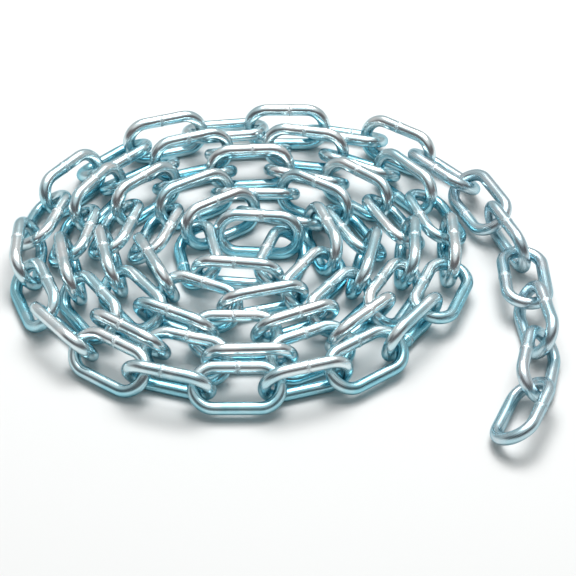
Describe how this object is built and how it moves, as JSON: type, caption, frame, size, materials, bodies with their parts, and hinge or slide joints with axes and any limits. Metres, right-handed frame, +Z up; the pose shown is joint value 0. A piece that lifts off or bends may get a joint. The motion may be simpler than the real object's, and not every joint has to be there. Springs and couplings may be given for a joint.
{
  "type": "heap of steel chain",
  "caption": "Length of bright zinc-plated welded steel chain lying in a flat spiral coil, with its free end trailing off to one side",
  "frame": {"origin": "on the floor, under the middle of the heap's footprint", "axes": "+Z up; +X to the right and +Y away from the viewer of the picture, whose side is -Y"},
  "size_m": [0.2192, 0.2092, 0.0211],
  "materials": {
    "zinc_plate": "bright zinc plate with a faint blue tint"
  },
  "bodies": {
    "root": {"link_01": "zinc_plate", "link_02": "zinc_plate", "link_03": "zinc_plate", "link_04": "zinc_plate", "link_05": "zinc_plate", "link_06": "zinc_plate", "link_07": "zinc_plate", "link_08": "zinc_plate", "link_09": "zinc_plate", "link_10": "zinc_plate", "link_11": "zinc_plate", "link_12": "zinc_plate", "link_13": "zinc_plate", "link_14": "zinc_plate", "link_15": "zinc_plate", "link_16": "zinc_plate", "link_17": "zinc_plate", "link_18": "zinc_plate", "link_19": "zinc_plate", "link_20": "zinc_plate", "link_21": "zinc_plate", "link_22": "zinc_plate", "link_23": "zinc_plate", "link_24": "zinc_plate", "link_25": "zinc_plate", "link_26": "zinc_plate", "link_27": "zinc_plate", "link_28": "zinc_plate", "link_29": "zinc_plate", "link_30": "zinc_plate", "link_31": "zinc_plate", "link_32": "zinc_plate", "link_33": "zinc_plate", "link_34": "zinc_plate", "link_35": "zinc_plate", "link_36": "zinc_plate", "link_37": "zinc_plate", "link_38": "zinc_plate", "link_39": "zinc_plate", "link_40": "zinc_plate", "link_41": "zinc_plate", "link_42": "zinc_plate", "link_43": "zinc_plate", "link_44": "zinc_plate", "link_45": "zinc_plate", "link_46": "zinc_plate", "link_47": "zinc_plate", "link_48": "zinc_plate", "link_49": "zinc_plate", "link_50": "zinc_plate", "link_51": "zinc_plate", "link_52": "zinc_plate", "link_53": "zinc_plate", "link_54": "zinc_plate", "link_55": "zinc_plate", "link_56": "zinc_plate", "link_57": "zinc_plate", "link_58": "zinc_plate", "link_59": "zinc_plate", "core_links": "zinc_plate"}
  },
  "joints": []
}
